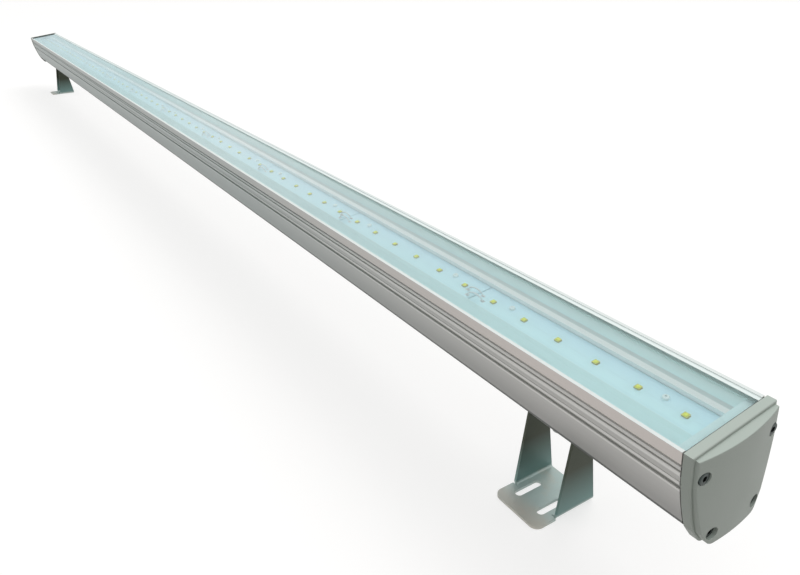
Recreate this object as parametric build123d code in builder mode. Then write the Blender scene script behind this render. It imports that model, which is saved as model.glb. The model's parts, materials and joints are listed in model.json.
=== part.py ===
"""Linear outdoor wall washer: a glazed aluminium trough of LEDs on two tilting foot brackets.

Millimetres, +Z up. X runs along the lamp, the glass leans towards -Y at rest, and the feet of
both brackets stand on Z = 0. Inside the lamp's own section, y runs across and z is the height
above the rim, so it is negative everywhere below the rim.
"""

import os
from math import cos, hypot, radians, sin

from build123d import *

# ---------------------------------------------------------------- driving dimensions
# Lamp body (an extrusion)
housing_length = 2000.0
housing_half_width = 30.5
housing_height = 59.0
side_straight = 17.5
belly_inset = 2.4
corner_inset = 6.1
corner_rise = 8.0
foot_inset = 12.3
wall = 2.0
side_wall = 3.2

# Rim, glass and the bed that it is glued on
rim_width = 2.1
glass_recess = 1.0
glass_thickness = 4.0
glass_side_gap = 0.4
seal_bed = 0.5
seat_width = 2.9

# Trough for the LED boards
trough_half_width = 12.1
board_half_width = 11.9
board_thickness = 1.6
board_top = -11.2
ledge_width = 3.7
ledge_height = -8.25
partition = 2.5
end_plug_length = 6.0
plug_gap = 0.1

# Grooves that run along both sides: (height of the middle, width, depth)
grooves = [(-8.4, 1.6, 1.3), (-12.0, 1.3, 1.2), (-17.0, 3.2, 0.4), (-22.5, 2.9, 1.9)]

# Slot under the body for the bracket clamps
slot_mouth_half = 4.6
slot_lip = 2.2
slot_half = 8.2
slot_height = 4.6

# Screw channels for the end caps
upper_channel_inset = 5.0
upper_channel_drop = 12.6
lower_channel_inset = 1.8
lower_channel_rise = 5.1
channel_radius = 1.9
channel_wall = 1.5

# End caps
gasket_thickness = 1.0
gasket_inset = 0.6
cap_overhang = 0.5
cap_crest = 0.6
cap_drop = 4.5
cap_corner_radius = 5.0
flange_thickness = 5.3
flange_edge_radius = 0.8
cover_inset = 1.5
cover_side_thickness = 2.2
cover_dome = 3.5
cover_edge_radius = 0.6
cap_screw_seat = 4.4
cap_screw_shank = 1.85
cap_screw_head = 3.5
cap_screw_head_height = 4.0
cap_screw_reach = 14.0
socket_width = 3.0
socket_depth = 2.4
counterbore_radius = 3.8
pocket_width = 34.0
pocket_height = 28.0
pocket_depth = 5.0
pocket_rise = 26.0
pocket_corner = 4.0

# LED boards
board_count = 11
board_gap = 0.8
leds_per_board = 6
led_size = 3.5
led_base = 0.8
lens_radius = 1.4
lens_height = 0.7
board_screw_offset = 3.5
board_screw_radius = 1.0
board_screw_head = 2.0
board_screw_head_height = 1.6
board_screw_reach = 5.6
hole_clearance = 0.1
jumper_radius = 0.6
jumper_span = 14.0
jumper_rise = 3.2
jumper_slant = 2.0
jumper_offset = -3.0
jumper_spacing = 4.5
jumper_stagger = 5.0
solder_radius = 1.3
solder_height = 0.8

# Driver
driver_length = 250.0
driver_width = 36.0
driver_height = 24.0
driver_wall = 1.5
driver_from_end = 300.0
pad_thickness = 0.8
driver_board_height = 5.0
lead_radius = 1.0
lead_spacing = 3.0
lead_straight = 12.0
lead_bend = 12.0
lead_hole_radius = 3.5

# Cable gland in the left end cap
gland_thread_radius = 7.9
gland_hole_gap = 0.1
gland_flat_radius = 12.0
gland_spot_face = 1.0
gland_hex = 20.0
gland_collar = 5.0
gland_barrel_radius = 7.2
gland_barrel_length = 8.0
gland_inner_radius = 4.5
seal_outer_radius = 5.5
seal_bore_radius = 3.75
seal_length = 10.0
dome_nut_length = 12.6
dome_nut_mouth = 4.3
dome_nut_gap = 0.1
dome_chamfer = 2.5
locknut_thickness = 4.0

# Brackets: bent from one sheet. Depths are measured from the tilt axis along Y.
bracket_inset = 110.0
bracket_width = 41.0
bracket_height = 60.0
sheet = 2.0
bend_radius = 1.5
leg_base_half = 16.5
leg_tip_radius = 8.0
base_front = 34.5
base_rear = 16.5
base_corner_radius = 6.0
relief_width = 0.8
relief_depth = 4.0
base_slot_length = 22.0
base_slot_width = 5.5
base_slot_spacing = 21.0
base_slot_middle = -12.6

# Hinge between bracket and lamp
tilt = 7.0
pivot_drop = 11.0
pivot_radius = 3.0
running_gap = 0.05
slide_gap = 0.05
lug_end_gap = 0.2
lug_half_depth = 8.0
lug_flange_half = 12.0
lug_flange = 3.0
rib_gap = 0.2
rib_height = 1.8
nut_side_gap = 0.4
nut_height = 4.0
nut_length = 24.0
clamp_screw_head = 5.0
clamp_screw_head_height = 5.5
clamp_screw_sink = 6.0
clamp_hole_gap = 0.3
pivot_screw_length = 14.0
pivot_head_hex = 10.0
pivot_head_height = 4.0
washer_radius = 6.25
washer_thickness = 1.6

sides = {"right": 1, "left": -1}

# ---------------------------------------------------------------- derived places
lower_corner = (housing_half_width - corner_inset, corner_rise - housing_height)
belly = (housing_half_width - belly_inset, (lower_corner[1] - side_straight) / 2)
foot_half_width = housing_half_width - foot_inset
rim_inner = housing_half_width - rim_width
glass_half_width = rim_inner - glass_side_gap
glass_bottom = -glass_recess - glass_thickness
seat_height = glass_bottom - seal_bed
seat_inner = rim_inner - seat_width
floor_height = board_top - board_thickness
ceiling = floor_height - partition
foot = (foot_half_width, -housing_height)
slot_floor = -housing_height + slot_lip
slot_roof = slot_floor + slot_height
slot_roof_top = slot_roof + wall
upper_channel = (housing_half_width - upper_channel_inset, -upper_channel_drop)
lower_channel = (foot_half_width - lower_channel_inset, lower_channel_rise - housing_height)
channels = [upper_channel, lower_channel]
pocket_middle = pocket_rise - housing_height
driver_from_middle = driver_from_end - housing_length / 2
flange_start = housing_length / 2 + gasket_thickness
cover_start = flange_start + flange_thickness
cover_middle = cover_start + cover_side_thickness + cover_dome
gland_face = cover_middle - gland_spot_face
gland_barrel_start = gland_face + gland_collar
gland_barrel_end = gland_barrel_start + gland_barrel_length
dome_nut_start = gland_barrel_start + dome_nut_gap
lamp_reach = dome_nut_start + dome_nut_length
board_length = (housing_length - 2 * end_plug_length - (board_count - 1) * board_gap) / board_count
board_pitch = board_length + board_gap
led_pitch = board_length / leds_per_board
bracket_place = housing_length / 2 - bracket_inset
rim_above_pivot = housing_height + pivot_drop


def cap_outline(inset, corner_radius):
    """The end cap's outline as a face, drawn in by inset, with its two bottom corners rounded."""
    shoulder = (housing_half_width + cap_overhang - inset, -side_straight)
    middle = (belly[0] + cap_overhang - inset, belly[1])
    corner = (lower_corner[0] + cap_overhang - inset, lower_corner[1])
    base = (foot_half_width - inset / 2, -housing_height - cap_drop + inset)
    with BuildSketch(Plane.XY, mode=Mode.PRIVATE) as outline:
        with BuildLine():
            Line((0, cap_crest - inset), (shoulder[0], cap_crest - inset))
            Line((shoulder[0], cap_crest - inset), shoulder)
            ThreePointArc(shoulder, middle, corner)
            Line(corner, base)
            Line(base, (0, base[1]))
            mirror(about=Plane.YZ)
        make_face()
        fillet(outline.vertices().group_by(Axis.Y)[0], corner_radius)
    return outline.sketch


# The origin is the middle of the whole lamp's foot print, so the end cap's tilted outline is
# measured first: it is the widest thing across, and the cable gland reaches furthest along.
lamp_up = Vector(0, -sin(radians(tilt)), cos(radians(tilt)))
lamp_across = Vector(0, cos(radians(tilt)), sin(radians(tilt)))
with BuildSketch(Plane(origin=lamp_up * rim_above_pivot, x_dir=lamp_across, z_dir=(1, 0, 0))) as tilted:
    add(cap_outline(0, cap_corner_radius))
foot_print = tilted.sketch.bounding_box(optimal=True)
front_reach = min(foot_print.min.Y, -base_front)
rear_reach = max(foot_print.max.Y, base_rear)
lamp_x = (lamp_reach - cover_middle) / 2
pivot_y = -(front_reach + rear_reach) / 2
pivot = Vector(lamp_x, pivot_y, bracket_height)
rim = pivot + lamp_up * rim_above_pivot


def section(x):
    """Plane across the lamp at x from its middle: sketch x is across, sketch y is up."""
    return Plane(origin=rim + Vector(x, 0, 0), x_dir=lamp_across, z_dir=(1, 0, 0))


def deck(height):
    """Plane level with the lamp's rim at a height in the section: sketch x is along it."""
    return Plane(origin=rim + lamp_up * height, x_dir=(1, 0, 0), z_dir=lamp_up)


def upright(y):
    """Plane along the lamp and up, at y across it: sketch x is along, sketch y is up."""
    return Plane(origin=rim + lamp_across * y, x_dir=(1, 0, 0), z_dir=-lamp_across)


def mirrored(points):
    """The same points on both halves of the section, as one closed loop."""
    return points + [(-y, z) for y, z in reversed(points)]


def finish(piece, name):
    """Label a finished piece and write it out."""
    piece.part.label = name
    export_step(piece.part, f"parts/{name}.step")


os.makedirs("parts", exist_ok=True)

# ---------------------------------------------------------------- lamp body
chamfer_length = hypot(lower_corner[0] - foot[0], lower_corner[1] - foot[1])
chamfer_out = ((lower_corner[1] - foot[1]) / chamfer_length, (foot[0] - lower_corner[0]) / chamfer_length)
inner_corner = (lower_corner[0] - wall * chamfer_out[0], lower_corner[1] - wall * chamfer_out[1])
inner_floor = -housing_height + wall + 0.2
chamfer_run = (inner_corner[1] - inner_floor) / (lower_corner[1] - foot[1])
inner_foot = (inner_corner[0] - (lower_corner[0] - foot[0]) * chamfer_run, inner_floor)
cavity_shoulder = (housing_half_width - side_wall, -side_straight - side_wall)
cavity_belly = (belly[0] - (wall + side_wall) / 2, belly[1])
pocket_inner = trough_half_width + ledge_width + wall
slope = (seat_height - ledge_height) / (seat_inner - trough_half_width - ledge_width)
pocket_top = ledge_height + slope * wall - wall
seat_underside = seat_height - wall

board_centres = [(index - (board_count - 1) / 2) * board_pitch for index in range(board_count)]
screw_steps = [-board_length / 2 + led_pitch, board_length / 2 - led_pitch]
board_screw_places = [
    (centre + step, board_screw_offset) for centre in board_centres for step in screw_steps
]
lead_hole_x = driver_from_middle + driver_length / 2 + lead_straight + lead_bend

with BuildPart() as housing:
    with BuildSketch(section(-housing_length / 2)):
        with BuildLine():
            Line((0, 0), (housing_half_width, 0))
            Line((housing_half_width, 0), (housing_half_width, -side_straight))
            ThreePointArc((housing_half_width, -side_straight), belly, lower_corner)
            Line(lower_corner, foot)
            Line(foot, (0, foot[1]))
            mirror(about=Plane.YZ)
        make_face()
        # driver cavity
        with BuildLine():
            Polyline(
                (0, ceiling),
                (pocket_inner, ceiling),
                (pocket_inner, pocket_top),
                (seat_inner, seat_underside),
                (cavity_shoulder[0], seat_underside),
                cavity_shoulder,
            )
            ThreePointArc(cavity_shoulder, cavity_belly, inner_corner)
            Polyline(
                inner_corner,
                inner_foot,
                (slot_half + wall, inner_floor),
                (slot_half + wall, slot_roof_top),
                (0, slot_roof_top),
            )
            mirror(about=Plane.YZ)
        make_face(mode=Mode.SUBTRACT)
        # trough for the boards, with the ledges and the glass seat
        trough = [
            (rim_inner, 0),
            (rim_inner, seat_height),
            (seat_inner, seat_height),
            (trough_half_width + ledge_width, ledge_height),
            (trough_half_width, ledge_height),
            (trough_half_width, floor_height),
        ]
        Polygon(*mirrored(trough), align=None, mode=Mode.SUBTRACT)
        # slot for the clamps
        slot = [
            (slot_mouth_half, -housing_height),
            (slot_mouth_half, slot_floor),
            (slot_half, slot_floor),
            (slot_half, slot_roof),
        ]
        Polygon(*mirrored(slot), align=None, mode=Mode.SUBTRACT)
        for side in sides.values():
            for height, width, depth in grooves:
                with Locations((side * housing_half_width, height)):
                    Rectangle(2 * depth, width, mode=Mode.SUBTRACT)
            for across, height in channels:
                with Locations((side * across, height)):
                    Circle(channel_radius + channel_wall)
                    Circle(channel_radius, mode=Mode.SUBTRACT)
    extrude(amount=housing_length)
    with BuildSketch(deck(floor_height)):
        with Locations(*board_screw_places):
            Circle(board_screw_radius + hole_clearance)
        with Locations((lead_hole_x, 0)):
            Circle(lead_hole_radius)
    extrude(amount=-partition, mode=Mode.SUBTRACT)
finish(housing, "housing")

# ---------------------------------------------------------------- glass and its seals
with BuildPart() as glass_cover:
    with BuildSketch(section(-housing_length / 2)):
        with Locations((0, glass_bottom + glass_thickness / 2)):
            Rectangle(2 * glass_half_width, glass_thickness)
    extrude(amount=housing_length)
finish(glass_cover, "glass_cover")

for seal_name, seal_side in {"front_glass_seal": -1, "rear_glass_seal": 1}.items():
    seal_profile = [
        (seat_inner, seat_height),
        (rim_inner, seat_height),
        (rim_inner, -glass_recess),
        (glass_half_width, -glass_recess),
        (glass_half_width, glass_bottom),
        (seat_inner, glass_bottom),
    ]
    with BuildPart() as glass_seal:
        with BuildSketch(section(-housing_length / 2)):
            Polygon(*[(seal_side * y, z) for y, z in seal_profile], align=None)
        extrude(amount=housing_length)
    finish(glass_seal, seal_name)

# ---------------------------------------------------------------- end caps
dome_half = housing_half_width + cap_overhang - cover_inset
dome_radius = (dome_half**2 + cover_dome**2) / (2 * cover_dome)
dome_margin = 2 * cover_dome

for side_name, side in sides.items():
    left = side < 0

    with BuildPart() as end_plug:
        plug_profile = [
            (seat_inner - plug_gap, glass_bottom - plug_gap),
            (seat_inner - plug_gap, seat_height),
            (trough_half_width + ledge_width, ledge_height + plug_gap),
            (trough_half_width - plug_gap, ledge_height + plug_gap),
            (trough_half_width - plug_gap, floor_height),
        ]
        with BuildSketch(section(side * (housing_length / 2 - end_plug_length))):
            Polygon(*mirrored(plug_profile), align=None)
        extrude(amount=side * end_plug_length)
    finish(end_plug, f"{side_name}_end_plug")

    with BuildPart() as gasket:
        with BuildSketch(section(side * housing_length / 2)):
            with BuildLine():
                top_width = housing_half_width - gasket_inset
                corner = (lower_corner[0] - gasket_inset, lower_corner[1])
                Line((0, -gasket_inset), (top_width, -gasket_inset))
                Line((top_width, -gasket_inset), (top_width, -side_straight))
                ThreePointArc((top_width, -side_straight), (belly[0] - gasket_inset, belly[1]), corner)
                Line(corner, (foot[0] - gasket_inset, foot[1] + gasket_inset))
                Line((foot[0] - gasket_inset, foot[1] + gasket_inset), (0, foot[1] + gasket_inset))
                mirror(about=Plane.YZ)
            make_face()
            with Locations((0, pocket_middle)):
                RectangleRounded(pocket_width, pocket_height, pocket_corner, mode=Mode.SUBTRACT)
            for across, height in channels:
                with Locations((across, height), (-across, height)):
                    Circle(channel_radius, mode=Mode.SUBTRACT)
        extrude(amount=side * gasket_thickness)
    finish(gasket, f"{side_name}_gasket")

    with BuildPart() as end_cap:
        with BuildSketch(section(side * flange_start)):
            add(cap_outline(0, cap_corner_radius))
        extrude(amount=side * flange_thickness)
        outer_face = end_cap.faces().sort_by(Axis.X)[-1 if side > 0 else 0]
        fillet(outer_face.edges(), flange_edge_radius)
        with BuildSketch(section(side * cover_start)):
            add(cap_outline(cover_inset, cap_corner_radius))
        extrude(amount=side * (cover_side_thickness + cover_dome))
        # the cover's face bulges about an upright axis
        with BuildSketch(deck(cap_crest)):
            with Locations((side * (cover_middle + dome_margin / 2), 0)):
                Rectangle(dome_margin + 2 * cover_dome, 3 * dome_half)
            with Locations((side * (cover_middle - dome_radius), 0)):
                Circle(dome_radius, mode=Mode.SUBTRACT)
        extrude(amount=-housing_height - cap_drop - cap_crest, mode=Mode.SUBTRACT)
        rim_edges = end_cap.faces().sort_by(Axis.X)[-1 if side > 0 else 0].edges()
        fillet(rim_edges, cover_edge_radius)
        for across, height in channels:
            with BuildSketch(section(side * flange_start)):
                with Locations((across, height), (-across, height)):
                    Circle(channel_radius)
            extrude(amount=side * flange_thickness, mode=Mode.SUBTRACT)
            with BuildSketch(section(side * (flange_start + cap_screw_seat))):
                with Locations((across, height), (-across, height)):
                    Circle(counterbore_radius)
            extrude(amount=side * (cover_middle - flange_start), mode=Mode.SUBTRACT)
        with BuildSketch(section(side * flange_start)):
            with Locations((0, pocket_middle)):
                RectangleRounded(pocket_width, pocket_height, pocket_corner)
        extrude(amount=side * pocket_depth, mode=Mode.SUBTRACT)
        if left:
            with BuildSketch(section(side * gland_face)):
                with Locations((0, pocket_middle)):
                    Circle(gland_flat_radius)
            extrude(amount=side * gland_spot_face, mode=Mode.SUBTRACT)
            with BuildSketch(section(side * flange_start)):
                with Locations((0, pocket_middle)):
                    Circle(gland_thread_radius + gland_hole_gap)
            extrude(amount=side * (cover_middle - flange_start), mode=Mode.SUBTRACT)
    finish(end_cap, f"{side_name}_end_cap")

    with BuildPart() as cap_screws:
        head_start = flange_start + cap_screw_seat
        for across, height in channels:
            with BuildSketch(section(side * head_start)):
                with Locations((across, height), (-across, height)):
                    Circle(cap_screw_head)
            extrude(amount=side * cap_screw_head_height)
            with BuildSketch(section(side * head_start)):
                with Locations((across, height), (-across, height)):
                    Circle(cap_screw_shank)
            extrude(amount=-side * (cap_screw_seat + gasket_thickness + cap_screw_reach))
            with BuildSketch(section(side * (head_start + cap_screw_head_height))):
                with Locations((across, height), (-across, height)):
                    RegularPolygon(socket_width / 2, 6, major_radius=False)
            extrude(amount=-side * socket_depth, mode=Mode.SUBTRACT)
    finish(cap_screws, f"{side_name}_cap_screws")

# ---------------------------------------------------------------- LED boards
for index, centre in enumerate(reversed(board_centres), start=1):
    led_places = [
        (centre + (position - (leds_per_board - 1) / 2) * led_pitch, 0)
        for position in range(leds_per_board)
    ]
    with BuildPart() as led_board:
        with BuildSketch(deck(floor_height)):
            with Locations((centre, 0)):
                Rectangle(board_length, 2 * board_half_width)
            with Locations(*[(centre + step, board_screw_offset) for step in screw_steps]):
                Circle(board_screw_radius + hole_clearance, mode=Mode.SUBTRACT)
        extrude(amount=board_thickness)
    finish(led_board, f"led_board_{index:02d}")

    with BuildPart() as led_row:
        with BuildSketch(deck(board_top)):
            with Locations(*led_places):
                Rectangle(led_size, led_size)
        extrude(amount=led_base)
        with BuildSketch(deck(board_top + led_base)):
            with Locations(*led_places):
                Circle(lens_radius)
        extrude(amount=lens_height)
    finish(led_row, f"led_row_{index:02d}")

with BuildPart() as board_screws:
    with BuildSketch(deck(board_top)):
        with Locations(*board_screw_places):
            Circle(board_screw_head)
    extrude(amount=board_screw_head_height)
    with BuildSketch(deck(board_top)):
        with Locations(*board_screw_places):
            Circle(board_screw_radius)
    extrude(amount=-board_screw_reach)
finish(board_screws, "board_screws")

# Two short insulated wires, soldered at both ends, arch over the joint between two boards.
with BuildPart() as jumper:
    start = (-jumper_span / 2, -jumper_slant / 2, jumper_radius)
    top = (0, 0, jumper_radius + jumper_rise)
    end = (jumper_span / 2, jumper_slant / 2, jumper_radius)
    with BuildLine() as jumper_path:
        ThreePointArc(start, top, end)
    with BuildSketch(Plane(origin=jumper_path.line @ 0, z_dir=jumper_path.line % 0)):
        Circle(jumper_radius)
    sweep()
    with BuildSketch(Plane.XY):
        with Locations(start[:2], end[:2]):
            Circle(solder_radius)
    extrude(amount=solder_height)
    split(bisect_by=Plane.XY, keep=Keep.TOP)

with BuildPart() as board_jumpers:
    for left_board, right_board in zip(board_centres, board_centres[1:]):
        joint = (left_board + right_board) / 2
        for half in (-0.5, 0.5):
            along = joint - half * jumper_stagger
            across = jumper_offset + half * jumper_spacing
            add(jumper.part.moved(deck(board_top).location * Location((along, across, 0))))
finish(board_jumpers, "board_jumpers")

# ---------------------------------------------------------------- driver in the cavity
driver_start = driver_from_middle - driver_length / 2
driver_bottom = slot_roof_top + pad_thickness
driver_top = driver_bottom + driver_height
driver_inner_half = driver_width / 2 - driver_wall
driver_floor = driver_bottom + driver_wall
driver_lid = driver_top - driver_wall
board_level = driver_floor + driver_board_height
components = [
    # along from the driver's start, across, length, width, height
    (45.0, 0.0, 34.0, 24.0, 9.0),
    (110.0, 2.0, 30.0, 22.0, 10.5),
    (165.0, -4.0, 20.0, 14.0, 8.0),
]
capacitor_radius = 4.5
capacitor_height = 10.0
capacitors = [(80.0, 6.0), (80.0, -6.0), (200.0, 6.0), (200.0, -6.0)]

with BuildPart() as driver_pad:
    with BuildSketch(deck(slot_roof_top)):
        with Locations((driver_from_middle, 0)):
            Rectangle(driver_length, 2 * (slot_half + wall))
    extrude(amount=pad_thickness)
finish(driver_pad, "driver_pad")

with BuildPart() as driver_case:
    with BuildSketch(deck(driver_bottom)):
        with Locations((driver_from_middle, 0)):
            Rectangle(driver_length, driver_width)
    extrude(amount=driver_height - driver_wall)
    with BuildSketch(deck(driver_floor)):
        with Locations((driver_from_middle, 0)):
            Rectangle(driver_length - 2 * driver_wall, 2 * driver_inner_half)
    extrude(amount=driver_height - 2 * driver_wall, mode=Mode.SUBTRACT)
    # rails for the circuit board
    for rail_side in sides.values():
        with BuildSketch(deck(driver_floor)):
            with Locations((driver_from_middle, rail_side * (driver_inner_half - driver_wall / 2))):
                Rectangle(driver_length - 2 * driver_wall, driver_wall)
        extrude(amount=driver_board_height - board_thickness)
    with BuildSketch(deck(board_level + lead_radius)):
        with Locations((driver_start + driver_length - driver_wall / 2, 0)):
            Rectangle(2 * driver_wall, lead_spacing + 4 * lead_radius)
    extrude(amount=driver_lid - board_level, mode=Mode.SUBTRACT)
finish(driver_case, "driver_case")

with BuildPart() as driver_cover:
    with BuildSketch(deck(driver_lid)):
        with Locations((driver_from_middle, 0)):
            Rectangle(driver_length, driver_width)
    extrude(amount=driver_wall)
finish(driver_cover, "driver_cover")

with BuildPart() as driver_board:
    with BuildSketch(deck(board_level)):
        with Locations((driver_from_middle, 0)):
            Rectangle(driver_length - 4 * driver_wall, 2 * driver_inner_half - driver_wall)
    extrude(amount=-board_thickness)
finish(driver_board, "driver_board")

with BuildPart() as driver_components:
    for along, across, length, width, height in components:
        with BuildSketch(deck(board_level)):
            with Locations((driver_start + along, across)):
                Rectangle(length, width)
        extrude(amount=height)
    with BuildSketch(deck(board_level)):
        with Locations(*[(driver_start + along, across) for along, across in capacitors]):
            Circle(capacitor_radius)
    extrude(amount=capacitor_height)
finish(driver_components, "driver_components")

# The leads leave the driver level, turn up and end at the underside of a board.
lead_level = board_level + 3 * lead_radius
lead_start = driver_start + driver_length - 4 * driver_wall
with BuildPart() as output_leads:
    for lead_side in sides.values():
        lead_y = lead_side * lead_spacing / 2
        with BuildLine(upright(lead_y)) as lead_path:
            FilletPolyline(
                (lead_start, lead_level),
                (lead_hole_x, lead_level),
                (lead_hole_x, floor_height),
                radius=lead_bend,
            )
        with BuildSketch(Plane(origin=lead_path.line @ 0, z_dir=lead_path.line % 0)):
            Circle(lead_radius)
        sweep(path=lead_path.line)
finish(output_leads, "output_leads")

# ---------------------------------------------------------------- cable gland, left end
with BuildPart() as gland_body:
    with BuildSketch(section(-gland_face)):
        with Locations((0, pocket_middle)):
            RegularPolygon(gland_hex / 2, 6, major_radius=False)
    extrude(amount=-gland_collar)
    with BuildSketch(section(-gland_barrel_start)):
        with Locations((0, pocket_middle)):
            Circle(gland_barrel_radius)
    extrude(amount=-gland_barrel_length)
    with BuildSketch(section(-gland_face)):
        with Locations((0, pocket_middle)):
            Circle(gland_thread_radius)
    extrude(amount=gland_face - flange_start - pocket_depth + locknut_thickness)
    with BuildSketch(section(-flange_start)):
        with Locations((0, pocket_middle)):
            Circle(gland_inner_radius)
    extrude(amount=-(gland_barrel_end - flange_start), mode=Mode.SUBTRACT)
    with BuildSketch(section(-gland_barrel_end)):
        with Locations((0, pocket_middle)):
            Circle(seal_outer_radius + running_gap)
    extrude(amount=seal_length, mode=Mode.SUBTRACT)
finish(gland_body, "gland_body")

with BuildPart() as gland_seal:
    with BuildSketch(section(-gland_barrel_end)):
        with Locations((0, pocket_middle)):
            Circle(seal_outer_radius)
            Circle(seal_bore_radius, mode=Mode.SUBTRACT)
    extrude(amount=seal_length)
finish(gland_seal, "gland_seal")

with BuildPart() as gland_dome_nut:
    with BuildSketch(section(-dome_nut_start)):
        with Locations((0, pocket_middle)):
            RegularPolygon(gland_hex / 2, 6, major_radius=False)
    extrude(amount=-dome_nut_length)
    chamfer(gland_dome_nut.faces().sort_by(Axis.X)[0].edges(), dome_chamfer)
    with BuildSketch(section(-dome_nut_start)):
        with Locations((0, pocket_middle)):
            Circle(gland_barrel_radius + dome_nut_gap)
    extrude(amount=-(gland_barrel_end - dome_nut_start + dome_nut_gap), mode=Mode.SUBTRACT)
    with BuildSketch(section(-dome_nut_start)):
        with Locations((0, pocket_middle)):
            Circle(dome_nut_mouth)
    extrude(amount=-dome_nut_length, mode=Mode.SUBTRACT)
finish(gland_dome_nut, "gland_dome_nut")

with BuildPart() as gland_locknut:
    with BuildSketch(section(-(flange_start + pocket_depth))):
        with Locations((0, pocket_middle)):
            RegularPolygon(gland_hex / 2, 6, major_radius=False)
            Circle(gland_thread_radius + gland_hole_gap, mode=Mode.SUBTRACT)
    extrude(amount=locknut_thickness)
finish(gland_locknut, "gland_locknut")

# ---------------------------------------------------------------- brackets and their hinges
lug_half_length = bracket_width / 2 - sheet - lug_end_gap
washer_start = bracket_width / 2 + running_gap
pivot_head_start = washer_start + washer_thickness
lug_top = -housing_height - slide_gap
pivot_height = -rim_above_pivot
lug_bottom = pivot_height - lug_half_depth
nut_bottom = slot_floor + slide_gap
clamp_screw_top = nut_bottom + nut_height
clamp_screw_seat = lug_bottom + clamp_screw_sink
leg_top = bracket_height + leg_tip_radius

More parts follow.
